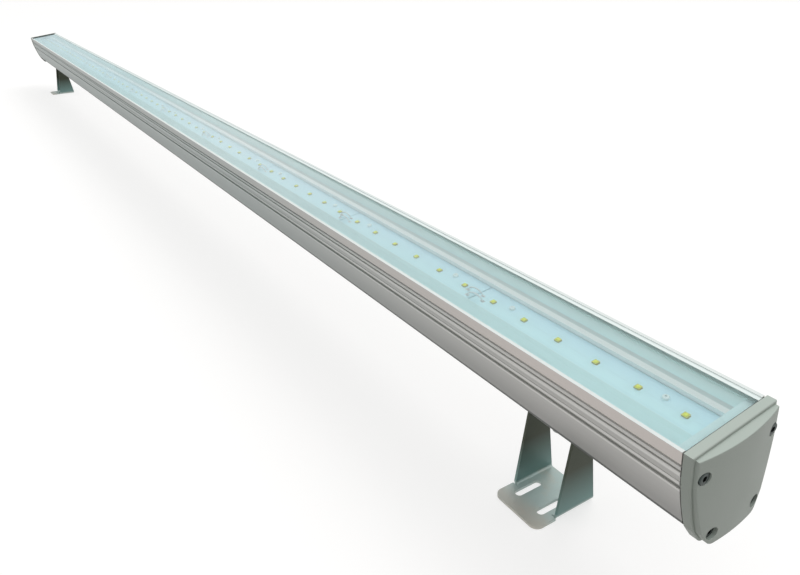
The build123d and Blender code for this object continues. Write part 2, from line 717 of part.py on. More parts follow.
for side_name, side in sides.items():
    place = side * bracket_place
    world_x = lamp_x + place

    with BuildPart() as bracket:
        with BuildSketch(Plane.XZ.offset(-(pivot_y + base_rear))) as channel:
            with Locations((world_x, leg_top / 2)):
                Rectangle(bracket_width, leg_top)
            fillet(channel.vertices().group_by(Axis.Y)[0], bend_radius + sheet)
        extrude(amount=base_rear + leg_base_half)
        with BuildSketch(Plane.XZ.offset(-(pivot_y + base_rear))) as channel_inside:
            with Locations((world_x, leg_top / 2 + sheet)):
                Rectangle(bracket_width - 2 * sheet, leg_top)
            fillet(channel_inside.vertices().group_by(Axis.Y)[0], bend_radius)
        extrude(amount=base_rear + leg_base_half, mode=Mode.SUBTRACT)
        # each leg tapers to a round tip about the tilt axis
        with BuildSketch(Plane.YZ.offset(world_x - bracket_width)):
            with Locations((pivot_y, bracket_height)):
                Circle(leg_tip_radius)
            with Locations((pivot_y, (sheet + bend_radius) / 2)):
                Rectangle(2 * leg_base_half, sheet + bend_radius)
            make_hull()
        extrude(amount=2 * bracket_width, mode=Mode.INTERSECT)
        with BuildSketch(Plane.XY) as base_plate:
            with Locations((world_x, pivot_y - (base_front + leg_base_half) / 2)):
                Rectangle(bracket_width, base_front - leg_base_half)
            fillet(base_plate.vertices().group_by(Axis.Y)[0], base_corner_radius)
            for end in sides.values():
                relief_x = world_x + end * (bracket_width - relief_depth) / 2
                with Locations((relief_x, pivot_y - leg_base_half - relief_width / 2)):
                    Rectangle(relief_depth, relief_width, mode=Mode.SUBTRACT)
        extrude(amount=sheet)
        with BuildSketch(Plane.XY):
            with Locations(
                (world_x - base_slot_spacing / 2, pivot_y + base_slot_middle),
                (world_x + base_slot_spacing / 2, pivot_y + base_slot_middle),
            ):
                SlotOverall(base_slot_length, base_slot_width, rotation=90)
        extrude(amount=sheet, mode=Mode.SUBTRACT)
        with BuildSketch(Plane.YZ.offset(world_x - bracket_width)):
            with Locations((pivot_y, bracket_height)):
                Circle(pivot_radius + running_gap)
        extrude(amount=2 * bracket_width, mode=Mode.SUBTRACT)
    finish(bracket, f"{side_name}_bracket")

    with BuildPart() as hinge_lug:
        with BuildSketch(section(place - lug_half_length)):
            with Locations((0, (lug_top + pivot_height) / 2)):
                Rectangle(2 * lug_half_depth, lug_top - pivot_height)
            with Locations((0, pivot_height)):
                Circle(lug_half_depth)
            with Locations((0, lug_top - lug_flange / 2)):
                Rectangle(2 * lug_flange_half, lug_flange)
            with Locations((0, lug_top + rib_height / 2)):
                Rectangle(2 * (slot_mouth_half - rib_gap), rib_height)
        extrude(amount=2 * lug_half_length)
        with BuildSketch(section(place - lug_half_length)):
            with Locations((0, pivot_height)):
                Circle(pivot_radius + running_gap)
        extrude(amount=2 * lug_half_length, mode=Mode.SUBTRACT)
        with BuildSketch(deck(lug_bottom)):
            with Locations((place, 0)):
                Circle(pivot_radius + clamp_hole_gap)
        extrude(amount=lug_top + rib_height - lug_bottom, mode=Mode.SUBTRACT)
        with BuildSketch(deck(lug_bottom)):
            with Locations((place, 0)):
                Circle(clamp_screw_head + clamp_hole_gap)
        extrude(amount=clamp_screw_sink, mode=Mode.SUBTRACT)
    finish(hinge_lug, f"{side_name}_hinge_lug")

    with BuildPart() as slot_nut:
        with BuildSketch(deck(nut_bottom)):
            with Locations((place, 0)):
                Rectangle(nut_length, 2 * (slot_half - nut_side_gap))
                Circle(pivot_radius + running_gap, mode=Mode.SUBTRACT)
        extrude(amount=nut_height)
    finish(slot_nut, f"{side_name}_slot_nut")

    with BuildPart() as clamp_screw:
        with BuildSketch(deck(clamp_screw_seat)):
            with Locations((place, 0)):
                Circle(pivot_radius)
        extrude(amount=clamp_screw_top - clamp_screw_seat)
        with BuildSketch(deck(clamp_screw_seat)):
            with Locations((place, 0)):
                Circle(clamp_screw_head)
        extrude(amount=-clamp_screw_head_height)
        with BuildSketch(deck(clamp_screw_seat - clamp_screw_head_height)):
            with Locations((place, 0)):
                RegularPolygon(socket_width * 5 / 6, 6, major_radius=False)
        extrude(amount=socket_depth, mode=Mode.SUBTRACT)
    finish(clamp_screw, f"{side_name}_clamp_screw")

    with BuildPart() as pivot_screws:
        for end in sides.values():
            with BuildSketch(section(place + end * pivot_head_start)):
                with Locations((0, pivot_height)):
                    RegularPolygon(pivot_head_hex / 2, 6, major_radius=False)
            extrude(amount=end * pivot_head_height)
            with BuildSketch(section(place + end * pivot_head_start)):
                with Locations((0, pivot_height)):
                    Circle(pivot_radius)
            extrude(amount=-end * pivot_screw_length)
    finish(pivot_screws, f"{side_name}_pivot_screws")

    with BuildPart() as pivot_washers:
        for end in sides.values():
            with BuildSketch(section(place + end * washer_start)):
                with Locations((0, pivot_height)):
                    Circle(washer_radius)
                    Circle(pivot_radius + running_gap, mode=Mode.SUBTRACT)
            extrude(amount=end * washer_thickness)
    finish(pivot_washers, f"{side_name}_pivot_washers")
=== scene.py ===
"""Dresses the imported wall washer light: finishes and models its pieces, and sets up a studio."""

import json
from math import cos, pi, radians, sin

import bpy
from mathutils import Euler, Matrix, Vector


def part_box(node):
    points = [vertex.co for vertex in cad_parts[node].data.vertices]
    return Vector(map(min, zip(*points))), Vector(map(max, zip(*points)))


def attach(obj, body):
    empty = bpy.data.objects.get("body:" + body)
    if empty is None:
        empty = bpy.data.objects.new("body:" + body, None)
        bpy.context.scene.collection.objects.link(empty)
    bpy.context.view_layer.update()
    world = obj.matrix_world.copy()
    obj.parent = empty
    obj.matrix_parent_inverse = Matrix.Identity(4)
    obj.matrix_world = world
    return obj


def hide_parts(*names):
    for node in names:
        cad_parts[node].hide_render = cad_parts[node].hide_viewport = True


bl_info = {
    "name": "Wall washer light",
    "version": (1, 0, 0),
    "blender": (4, 5, 0),
    "location": "3D View > Sidebar > Wall Washer",
    "description": "Finishes for a linear wall washer light, with its LEDs, screws and wires",
    "category": "Object",
}

MM = 0.001

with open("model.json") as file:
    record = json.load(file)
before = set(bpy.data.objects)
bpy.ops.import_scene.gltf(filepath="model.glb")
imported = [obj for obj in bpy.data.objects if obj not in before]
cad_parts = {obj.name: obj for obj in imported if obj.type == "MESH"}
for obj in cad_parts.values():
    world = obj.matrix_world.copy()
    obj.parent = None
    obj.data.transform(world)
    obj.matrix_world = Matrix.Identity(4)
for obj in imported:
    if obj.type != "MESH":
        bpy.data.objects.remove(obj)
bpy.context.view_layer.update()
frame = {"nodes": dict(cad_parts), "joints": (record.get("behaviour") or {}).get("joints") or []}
nodes = frame["nodes"]

# ---------------------------------------------------------------- the lamp's own directions
# "Section" places: x along the lamp, y across it, z up from its rim. The lamp leans by TILT.
TILT = radians(7.0)
RIM_ABOVE_PIVOT = 70.0 * MM
pivot = Vector(next(joint["pos_m"] for joint in frame["joints"] if joint["name"] == "right_tilt"))
lamp_up = Vector((0.0, -sin(TILT), cos(TILT)))
rim = Vector((0.0, pivot.y, pivot.z)) + lamp_up * RIM_ABOVE_PIVOT
SECTION = Matrix.Translation(rim) @ Matrix.Rotation(TILT, 4, "X")

# Levels and half widths of the trough in the section
RIM_INNER = 28.4 * MM
GLASS_EDGE = 28.0 * MM
SEAT_INNER = 25.5 * MM
SEAT_LEVEL = -5.5 * MM
LEDGE_OUTER = 15.8 * MM
LEDGE_LEVEL = -8.25 * MM
TROUGH_HALF = 12.1 * MM

# Heights of the painted light and shade on the body's outside
LIT_WARM_BAND_FOOT = -7.5 * MM
RIDGES = (-14.0 * MM, -19.8 * MM, -24.9 * MM)
BELLY_TOP = -25.5 * MM
BELLY_FOOT = -44.0 * MM
UNDERSIDE = -49.2 * MM

# Grooves along the body's sides, darkened with painted shade: height, half its width, how far out its
# floor is, how much painted shade
GROOVES = [
    (-12.0 * MM, 0.65 * MM, 29.3 * MM, 0.3),
    (-17.0 * MM, 1.6 * MM, 30.1 * MM, 0.18),
    (-22.5 * MM, 1.45 * MM, 28.6 * MM, 0.48),
]

# LED boards: half sizes along and across, and where their rails and edges run
BOARD_NAMES = [f"led_board_{number:02d}" for number in range(1, 12)]
BOARD_TOP = -11.2 * MM
BOARD_SCREW_ACROSS = 3.5 * MM
LED_COUNT = 6
LED_COPPER = (4.6 * MM, 5.2 * MM)
LED_PADS = (2.2 * MM, 1.5 * MM)
RAIL_ACROSS = 8.4 * MM
RAIL_HALF = 1.2 * MM
LINK_HALF = 0.6 * MM
BOARD_EDGE = 12.0 * MM
EDGE_HALF = 0.5 * MM

# Where the screws of an end cap stand: how far from its middle, and how high
CAP_SCREW_PLACES = [(25.5 * MM, -12.6 * MM), (16.4 * MM, -53.9 * MM)]

# How far from the lamp's middle, towards its right end, the painted light and shade change: painted light
# near the right end, painted shade further from it
NEAR_END = 0.93
NEAR_END_STARTS = 0.6
FAR_SHADE_STARTS = 0.9
FAR_SHADE_FULL = 0.45

# Tests of edges and faces: along z, and close to an end
UPRIGHT = 0.9
NEARLY = 0.99

WHITE = (1.0, 1.0, 1.0, 1.0)
# Painted highlight on the rim's top and inner face.
RIM_HIGHLIGHT = (0.80, 0.84, 0.82, 1.0)


def middle_along(name):
    """The middle of a node along the lamp."""
    low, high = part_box(name)
    return (low.x + high.x) / 2


board_middles = [middle_along(name) for name in BOARD_NAMES]
board_low, board_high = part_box(BOARD_NAMES[0])
board_length = board_high.x - board_low.x
board_pitch = board_middles[0] - board_middles[1]
led_pitch = board_length / LED_COUNT
lamp_middle = middle_along("housing")

# Added to places from the lamp's middle, which is the middle of a board: half a board makes them count
# from a board's start, and whole boards make sure that none is below zero
boards_added = 100.0 * board_pitch + board_length / 2


# ---------------------------------------------------------------- settings a user would change
def length_setting(label, says, default):
    """A length that a user can change."""
    return bpy.props.FloatProperty(
        name=label, description=says, default=default, unit="LENGTH", precision=5)


def colour_setting(label, says, default):
    """A colour that a user can change."""
    return bpy.props.FloatVectorProperty(
        name=label, description=says, default=default, subtype="COLOR", min=0.0, max=1.0)


class WallWasherSizes(bpy.types.PropertyGroup):
    """Sizes of the shapes that are modelled here."""

    led_width: length_setting("LED width", "Side of an LED's ceramic base", 3.5 * MM)
    led_base: length_setting("LED base", "Height of an LED's ceramic base", 0.8 * MM)
    lens_radius: length_setting("Lens radius", "Radius of the lens on an LED", 1.4 * MM)
    lens_height: length_setting("Lens height", "How far a lens stands above its base", 0.8 * MM)
    board_screw_radius: length_setting(
        "Board screw head", "Radius of a board screw's pan head", 2.0 * MM)
    cap_screw_radius: length_setting(
        "Cap screw head", "Radius of an end cap screw's socket head", 3.5 * MM)
    pivot_hex: length_setting(
        "Pivot screw hexagon", "Width across flats of a pivot screw's head", 10.0 * MM)
    wire_radius: length_setting(
        "Jumper wire", "Radius of a jumper wire over its insulation", 0.6 * MM)
    gland_hex: length_setting(
        "Gland nut hexagon", "Width across flats of the cable gland's dome nut", 20.0 * MM)


class WallWasherColours(bpy.types.PropertyGroup):
    """Colours of the finishes."""

    body: colour_setting("Body", "Clear anodised aluminium", (0.64, 0.63, 0.605))
    # Painted light: the trough's pale colour stands for the boards' light reflected onto its walls.
    trough: colour_setting("Trough", "Pale coat inside the trough", (0.50, 0.66, 0.67))
    caps: colour_setting("End caps", "Powder coat of the end caps", (0.35, 0.385, 0.345))
    boards: colour_setting("Boards", "Solder mask of the LED boards", (0.60, 0.83, 0.90))
    phosphor: colour_setting("LED lenses", "Phosphor under the LED lenses", (0.99, 0.95, 0.05))
    brackets: colour_setting("Brackets", "Zinc plating of the brackets", (0.29, 0.35, 0.335))
    glass: colour_setting("Glass", "Tint of the cover glass", (0.93, 0.99, 0.985))


SETTINGS = {"wall_washer_sizes": WallWasherSizes, "wall_washer_colours": WallWasherColours}


# ---------------------------------------------------------------- nodes of materials
# A socket's id_data is the node tree that it is in, so only the first nodes are told their tree.
def node(tree, kind, feeds=None, **settings):
    """Add a node, set it up, and feed its inputs with sockets or plain values."""
    made = tree.nodes.new(kind)
    for key, value in settings.items():
        setattr(made, key, value)
    for key, value in (feeds or {}).items():
        if isinstance(value, bpy.types.NodeSocket):
            tree.links.new(value, made.inputs[key])
        else:
            made.inputs[key].default_value = value
    return made


def feed(inputs, **sockets):
    """Link sockets to the inputs that they are named after."""
    for label, socket in sockets.items():
        socket.id_data.links.new(socket, inputs[label.replace("_", " ")])


def calc(operation, first, second=0.0):
    """A Math node's result."""
    feeds = {0: first, 1: second}
    return node(first.id_data, "ShaderNodeMath", feeds, operation=operation).outputs[0]


def times(first, second):
    """One value times another."""
    return calc("MULTIPLY", first, second)


def largest(first, *others):
    """The largest of several values."""
    for other in others:
        first = calc("MAXIMUM", first, other)
    return first


def weigh(first, second, share):
    """The sum of two values, with this share of the second and the rest of the first."""
    return calc("ADD", times(first, 1.0 - share), times(second, share))


def blend_colours(share, first, second):
    """Two colours mixed by a share."""
    feeds = {0: share, 6: first, 7: second}
    return node(share.id_data, "ShaderNodeMix", feeds, data_type="RGBA").outputs[2]


def remap(value, low, high, to_low=0.0, to_high=1.0):
    """A value taken from one range to another, held inside it."""
    feeds = {0: value, 1: low, 2: high, 3: to_low, 4: to_high}
    return node(value.id_data, "ShaderNodeMapRange", feeds, clamp=True).outputs[0]


def noise(place, stretch, detail=2.0, roughness=0.5):
    """Noise over a place that is stretched differently along each direction."""
    tree, feeds = place.id_data, {0: place, 1: stretch}
    spread = node(tree, "ShaderNodeVectorMath", feeds, operation="MULTIPLY").outputs[0]
    feeds = {"Vector": spread, "Scale": 1.0, "Detail": detail, "Roughness": roughness}
    return node(tree, "ShaderNodeTexNoise", feeds).outputs["Fac"]


def near(value, target, reach, soft):
    """1 where a value is within reach of a target, falling to 0 over a soft edge."""
    apart = calc("ABSOLUTE", calc("SUBTRACT", value, target))
    return remap(apart, reach, reach + soft, 1.0, 0.0)


def at_face(value, level):
    """1 on a flat face that lies at a level."""
    return near(value, level, 0.06 * MM, 0.05 * MM)


def on_patch(along, across, half_sizes, soft):
    """1 on a rectangle around the origin, falling to 0 over soft edges."""
    length, width = half_sizes
    return times(near(along, 0.0, length, soft), near(across, 0.0, width, soft))


def above(value, edge, soft=0.1 * MM):
    """1 above an edge, falling to 0 just below it."""
    return remap(value, edge - soft, edge)


def over(base, mask, share, colour):
    """A colour laid over a base where a mask says, with at most this share of it."""
    return blend_colours(times(mask, share), base, colour)


def parts_of(place):
    """The three values of a place."""
    return node(place.id_data, "ShaderNodeSeparateXYZ", {0: place}).outputs


def object_place(tree):
    """Where a spot is on its piece."""
    return node(tree, "ShaderNodeTexCoord").outputs["Object"]


def section_place(tree):
    """Object coordinates turned into the lamp's own directions."""
    feeds = {"Vector": object_place(tree), "Location": rim, "Rotation": (TILT, 0, 0)}
    return node(tree, "ShaderNodeMapping", feeds, vector_type="TEXTURE").outputs[0]


def from_middle(along):
    """How far a place is from the lamp's middle, towards its right end."""
    return calc("SUBTRACT", along["X"], lamp_middle)


def near_end(along):
    """1 at the lamp's right end, falling to 0 after two boards."""
    return remap(from_middle(along), NEAR_END_STARTS, NEAR_END)


def far_half(along):
    """1 from the lamp's middle to its left end, 0 on the two boards at its right."""
    return remap(from_middle(along), NEAR_END_STARTS, 0.0)


def board_places(place):
    """How far a place along the lamp is from its board's start and from the nearest LED."""
    on_board = calc("MODULO", calc("ADD", place, boards_added), board_pitch)
    on_led = calc("MODULO", on_board, led_pitch)
    return on_board, calc("SUBTRACT", on_led, led_pitch / 2)


def drawn_metal(place):
    """Fine lines along an extrusion, as its die leaves them."""
    fine = noise(place, (5.0, 2600.0, 2600.0), 3.0)
    broad = noise(place, (0.9, 420.0, 420.0))
    cloud = noise(place, (9.0, 30.0, 30.0), 3.0)
    lines = weigh(fine, broad, 0.55)
    return {"Shade": weigh(lines, cloud, 0.3), "Height": lines}


def cast_skin(place):
    """The slightly pebbled skin of powder coat over a die casting."""
    pebble = noise(place, (1500.0, 1500.0, 1500.0))
    wave = noise(place, (260.0, 260.0, 260.0))
    patch = noise(place, (45.0, 45.0, 45.0), 4.0, 0.6)
    return {"Shade": patch, "Height": weigh(pebble, wave, 0.4)}


def zinc_bloom(place):
    """Cloudy patches and rolling marks of zinc plated sheet."""
    cloud = noise(place, (70.0, 70.0, 70.0), 5.0, 0.6)
    rolled = noise(place, (1800.0, 90.0, 90.0))
    stain = noise(place, (28.0, 40.0, 33.0), 4.0, 0.65)
    tarnish = remap(stain, 0.48, 0.72)
    return {"Shade": weigh(cloud, rolled, 0.3), "Tarnish": tarnish, "Height": rolled}


def settled_dust(place):
    """What faces up, and where dust lies on it, in uneven patches."""
    facing = parts_of(node(place.id_data, "ShaderNodeNewGeometry").outputs["Normal"])
    upward = remap(facing["Z"], 0.55, 0.98)
    patches = noise(place, (60.0, 160.0, 160.0), 5.0, 0.65)
    mask = times(upward, remap(patches, 0.35, 0.7))
    return {"Mask": mask, "Upward": upward}


def soft_skin(place):
    """The fine matt skin of moulded plastic, silicone and rubber."""
    grain = noise(place, (4200.0, 4200.0, 4200.0))
    patch = noise(place, (120.0, 120.0, 120.0), 3.0)
    return {"Shade": patch, "Height": grain}


def board_layout(place):
    """Where an LED board has copper under its mask, where bare tinned pads, and where its edges are."""
    along = parts_of(place)
    on_board, from_led = board_places(from_middle(along))
    across = calc("ABSOLUTE", along["Y"])
    blurred = 0.2 * MM
    thermal = on_patch(from_led, across, LED_COPPER, blurred)
    rails = near(across, RAIL_ACROSS, RAIL_HALF, blurred)
    link = near(across, 0.0, LINK_HALF, blurred)
    pads = on_patch(from_led, across, LED_PADS, 0.1 * MM)
    sides = near(across, BOARD_EDGE, EDGE_HALF, 0.3 * MM)
    ends = near(on_board, 0.0, EDGE_HALF, 0.3 * MM)
    copper = largest(thermal, rails, link)
    return {"Copper": copper, "Pads": pads, "Edge": largest(sides, ends)}


def group(maker):
    """A shader node group that is named after its maker. It takes a place and gives what that returns."""
    tree = bpy.data.node_groups.new(maker.__name__, "ShaderNodeTree")
    tree.interface.new_socket("Place", in_out="INPUT", socket_type="NodeSocketVector")
    made = maker(tree.nodes.new("NodeGroupInput").outputs[0])
    for label in made:
        tree.interface.new_socket(label, in_out="OUTPUT", socket_type="NodeSocketFloat")
    feed(tree.nodes.new("NodeGroupOutput").inputs, **made)
    return tree


def effect(maker, place):
    """Place a shared effect's node group, made on its first use."""
    made = bpy.data.node_groups.get(maker.__name__) or group(maker)
    return node(place.id_data, "ShaderNodeGroup", {"Place": place}, node_tree=made).outputs


def finish(name, **constants):
    """A new material, its node tree and its Principled shader, with the shader's plain values set."""
    material = bpy.data.materials.new(name)
    material.use_nodes = True
    tree = material.node_tree
    shader = tree.nodes["Principled BSDF"]
    for label, value in constants.items():
        shader.inputs[label.replace("_", " ")].default_value = value
    return material, tree, shader


def bump(shader, height, strength, depth=0.02 * MM):
    """Feed a height to the shader's normal."""
    feeds = {"Height": height, "Distance": depth, "Strength": strength}
    feed(shader.inputs, Normal=node(shader.id_data, "ShaderNodeBump", feeds).outputs[0])


def tone(colour, factor):
    """A colour made lighter or darker, as the four numbers that a socket takes."""
    return (*[min(1.0, part * factor) for part in colour], 1.0)


def camera_or_mirror(ray):
    """1 for rays from the camera and for rays that metal or glass has turned."""
    return largest(ray["Is Camera Ray"], ray["Is Glossy Ray"], ray["Is Transmission Ray"])


# ---------------------------------------------------------------- finishes
def body_outside(colours, along, shade, dust):
    """Anodised outside with dust; painted light by the rim and on ridges, painted shade in grooves, foot
    and far end.
    """
    height, out = along["Z"], calc("ABSOLUTE", along["Y"])
    base = blend_colours(shade, tone(colours.body, 0.88), tone(colours.body, 1.12))
    # Painted light: the band beside the rim is made lighter and warmer, as if lit from above.
    warm = [part * gain for part, gain in zip(colours.body, (1.12, 1.05, 1.03))]
    lit_upper_band = blend_colours(shade, tone(warm, 0.88), tone(warm, 1.12))
    base = over(base, above(height, LIT_WARM_BAND_FOOT), 1.0, lit_upper_band)
    base = over(base, dust, 0.2, (0.55, 0.53, 0.49, 1.0))
    # Painted highlight along each ridge between the grooves.
    for ridge in RIDGES:
        ridge_highlight = near(height, ridge, 0.7 * MM, 0.3 * MM)
        base = over(base, ridge_highlight, 0.6, tone(colours.body, 1.35))
    # Painted shade: the belly darkens towards its foot, which faces down and away from the light.
    belly = remap(height, BELLY_TOP + 0.1 * MM, BELLY_TOP)
    shaded = remap(height, BELLY_TOP, BELLY_FOOT, 0.15, 0.72)
    base = over(base, belly, shaded, tone(colours.body, 0.45))
    # Painted shade: the outside darkens towards the lamp's far end.
    far_shade = remap(from_middle(along), FAR_SHADE_STARTS, FAR_SHADE_FULL)
    base = over(base, far_shade, 0.58, (0.32, 0.40, 0.39, 1.0))
    # Painted shade: a dark band along the underside, which turns away from the light.
    under = remap(height, UNDERSIDE + 0.8 * MM, UNDERSIDE)
    base = over(base, under, 0.9, (0.05, 0.055, 0.05, 1.0))
    # Painted shade in the grooves along the sides.
    for middle, half_width, floor, groove_shade in GROOVES:
        across = near(height, middle, half_width, 0.1 * MM)
        depth = near(out, floor, 0.2 * MM, 0.3 * MM)
        base = over(base, times(across, depth), groove_shade, (0.10, 0.115, 0.10, 1.0))
    # Painted highlight along the top of the rim.
    return over(base, above(height, -0.05 * MM, 0.25 * MM), 1.0, RIM_HIGHLIGHT)


def body_trough(colours, along, base, inside):
    """Pale colour in the trough as painted light, with more painted light and shade on slopes, ledges and
    steps, and the seat of the glass.
    """
    height, out = along["Z"], calc("ABSOLUTE", along["Y"])
    rear = above(along["Y"], 1.0 * MM, 1.0 * MM)
    slope = remap(out, LEDGE_OUTER + 2.5 * MM, SEAT_INNER - 1.5 * MM)
    foot = near(out, LEDGE_OUTER + 1.3 * MM, 1.0 * MM, 0.5 * MM)
    ledge = at_face(height, LEDGE_LEVEL)
    coats = [
        # Painted shade over the far half of the trough, painted light near its right end.
        (far_half(along), 1.0, (0.36, 0.58, 0.57, 1.0)),
        (near_end(along), 1.0, tone(colours.trough, 1.28)),
        # Painted light on the rear slope, painted shade at its foot, painted light on the rear ledge and
        # on the step's faces.
        (times(rear, slope), 0.85, (0.80, 0.98, 0.96, 1.0)),
        (times(rear, foot), 0.8, (0.54, 0.58, 0.57, 1.0)),
        (times(rear, ledge), 1.0, (0.86, 0.86, 0.85, 1.0)),
        (at_face(out, TROUGH_HALF), 1.0, (0.98, 0.99, 0.98, 1.0)),
        (at_face(height, SEAT_LEVEL), 1.0, (0.78, 0.90, 0.88, 1.0)),
    ]
    # Painted light: the whole trough gets a pale colour for the boards' light reflected onto its walls.
    base = over(base, inside, 1.0, tone(colours.trough, 1.0))
    for mask, share, colour in coats:
        base = over(base, times(inside, mask), share, colour)
    # Painted highlight on the rim's inner face.
    rim_face = times(above(height, SEAT_LEVEL), at_face(out, RIM_INNER))
    return over(base, rim_face, 1.0, RIM_HIGHLIGHT)


def body_finish(colours):
    """Clear anodised extrusion: drawn lines outside and a pale colour in its trough, with painted light
    and shade on both.
    """
    material, tree, shader = finish("clear_anodised_extrusion")
    place = section_place(tree)
    along = parts_of(place)
    drawn = effect(drawn_metal, place)
    dust = effect(settled_dust, place)["Mask"]
    out = calc("ABSOLUTE", along["Y"])
    within = near(out, 0.0, RIM_INNER + 0.02 * MM, 0.05 * MM)
    inside = times(within, above(along["Z"], BOARD_TOP, 0.2 * MM))
    base = body_outside(colours, along, drawn["Shade"], dust)
    base = body_trough(colours, along, base, inside)
    metallic = remap(inside, 0.0, 1.0, 0.3, 0.05)
    polish = remap(drawn["Shade"], 0.2, 0.8, 0.38, 0.52)
    rough = calc("ADD", polish, times(dust, 0.12))
    feed(shader.inputs, Base_Color=base, Metallic=metallic, Roughness=rough)
    bump(shader, drawn["Height"], 0.6)
    return material


def cap_finish(colours, name, depth):
    """Powder coat over a die casting, with a painted highlight where it faces up; a depth below 1 paints a
    darker, shaded copy.
    """
    material, tree, shader = finish(name, Coat_Roughness=0.4)
    place = section_place(tree)
    skin = effect(cast_skin, place)
    dust = effect(settled_dust, place)
    dark, light = tone(colours.caps, 0.90 * depth), tone(colours.caps, 1.10 * depth)
    base = blend_colours(skin["Shade"], dark, light)
    # Painted highlight on what faces up.
    base = over(base, dust["Upward"], 0.35 * depth, (0.64, 0.75, 0.68, 1.0))
    base = over(base, dust["Mask"], 0.15, (0.55, 0.54, 0.50, 1.0))
    rough = remap(skin["Shade"], 0.3, 0.7, 0.42, 0.56)
    feed(shader.inputs, Base_Color=base, Roughness=rough)
    bump(shader, skin["Height"], 0.5, 0.05 * MM)
    return material


def sheet_finish(colours):
    """Zinc plated sheet: warm along the plate's front; the plate is painted lighter than its legs, whose
    painted shade darkens towards their tops.
    """
    material, tree, shader = finish("zinc_plated_sheet", Metallic=0.45, Specular_IOR_Level=0.3)
    place = object_place(tree)
    where = parts_of(place)
    bloom = effect(zinc_bloom, place)
    shade = bloom["Shade"]
    # Painted light: the plate is lighter than the legs of the same sheet.
    plate = blend_colours(shade, tone(colours.brackets, 1.4), tone(colours.brackets, 2.0))
    behind_pivot = calc("SUBTRACT", where["Y"], pivot.y)
    front = remap(behind_pivot, -17.0 * MM, -30.0 * MM)
    plate = over(plate, front, 0.6, (0.64, 0.57, 0.50, 1.0))
    plate = over(plate, bloom["Tarnish"], 0.6, (0.60, 0.55, 0.46, 1.0))
    # Painted shade: the legs are darker than the plate, and darker still towards their tops under the
    # light's body.
    leg = blend_colours(shade, (0.15, 0.25, 0.235, 1.0), (0.22, 0.34, 0.32, 1.0))
    leg_top_shade = blend_colours(shade, (0.042, 0.050, 0.034, 1.0), (0.07, 0.08, 0.055, 1.0))
    leg = blend_colours(remap(where["Z"], 6.0 * MM, 36.0 * MM), leg, leg_top_shade)
    base = blend_colours(remap(where["Z"], 2.2 * MM, 4.5 * MM), plate, leg)
    rough = remap(shade, 0.3, 0.7, 0.38, 0.54)
    feed(shader.inputs, Base_Color=base, Roughness=rough)
    bump(shader, bloom["Height"], 0.5)
    return material


def machined_finish():
    """Plain machined aluminium."""
    material, tree, shader = finish("machined_aluminium", Metallic=0.9)
    drawn = effect(drawn_metal, section_place(tree))
    shade = drawn["Shade"]
    base = blend_colours(shade, (0.40, 0.41, 0.40, 1.0), (0.60, 0.61, 0.59, 1.0))
    rough = remap(shade, 0.2, 0.8, 0.30, 0.45)
    feed(shader.inputs, Base_Color=base, Roughness=rough)
    bump(shader, drawn["Height"], 0.5)
    return material


def plain_finish(name, skin, dark, light, rough_low, rough_high, **constants):
    """One colour with the uneven shade and fine bumps of a skin."""
    material, tree, shader = finish(name, **constants)
    marks = effect(skin, object_place(tree))
    base = blend_colours(marks["Shade"], (*dark, 1.0), (*light, 1.0))
    rough = remap(marks["Shade"], 0.3, 0.7, rough_low, rough_high)
    feed(shader.inputs, Base_Color=base, Roughness=rough)
    bump(shader, marks["Height"], 0.4)
    return material


def fastener_finish(name, dark, light, rough_low, rough_high, metallic=1.0):
    """Stainless or zinc fasteners with handling marks."""
    return plain_finish(name, cast_skin, dark, light, rough_low, rough_high, Metallic=metallic)


def soft_finish(name, dark, light, rough, **constants):
    """Moulded plastic, silicone or rubber."""
    return plain_finish(name, soft_skin, dark, light, rough - 0.05, rough + 0.05, **constants)


def board_finish(colours):
    """White solder mask over copper, tinned pads, laminate edges in painted shade, and painted light and
    shade along and across.
    """
    material, tree, shader = finish("solder_mask", Coat_Weight=0.4, Coat_Roughness=0.12)
    place = section_place(tree)
    along = parts_of(place)
    layout = effect(board_layout, place)
    patch = noise(place, (40.0, 90.0, 90.0), 4.0, 0.6)
    base = blend_colours(patch, tone(colours.boards, 0.92), tone(colours.boards, 1.06))
    # Painted shade over the far half, painted light near the right end, and bluer painted shade on the
    # rear half.
    base = over(base, far_half(along), 1.0, (0.49, 0.78, 0.86, 1.0))
    base = over(base, near_end(along), 1.0, (0.70, 0.94, 0.99, 1.0))
    rear = remap(along["Y"], -4.0 * MM, 8.0 * MM)
    base = over(base, rear, 0.5, (0.56, 0.77, 0.92, 1.0))
    base = over(base, layout["Copper"], 0.12, tone(colours.boards, 0.86))
    base = blend_colours(layout["Pads"], base, (0.62, 0.62, 0.60, 1.0))
    # Cut laminate edges, darkened with painted shade where the boards meet the step and each other.
    base = over(base, layout["Edge"], 0.35, (0.48, 0.60, 0.62, 1.0))
    metallic = remap(layout["Pads"], 0.0, 1.0, 0.0, 0.9)
    rough = remap(patch, 0.3, 0.7, 0.30, 0.42)
    feed(shader.inputs, Base_Color=base, Metallic=metallic, Roughness=rough)
    bump(shader, layout["Copper"], 0.3, 0.035 * MM)
    return material


